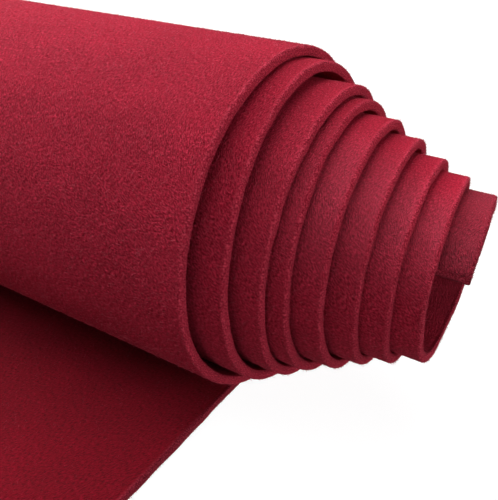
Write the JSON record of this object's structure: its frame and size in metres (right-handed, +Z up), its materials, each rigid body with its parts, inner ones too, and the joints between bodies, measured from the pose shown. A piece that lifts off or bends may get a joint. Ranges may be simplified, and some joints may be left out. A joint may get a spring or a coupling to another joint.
{
  "type": "roll of felt",
  "caption": "Length of thick crimson felt wound into a hollow roll lying on its side, pushed out so its wraps step out at one end, with its loose end flat in front.",
  "frame": {"origin": "centre of the bounding box, at the height of the surface that the roll rests on", "axes": "+X along the roll towards the end where the wraps step out, +Y towards the back, away from the loose end, +Z up"},
  "size_m": [0.4614, 0.224, 0.1074],
  "materials": {
    "felt": "dull matted felt with fine fibres, slightly fuzzy on the cut edges"
  },
  "bodies": {
    "root": {"felt": "felt"}
  },
  "joints": []
}
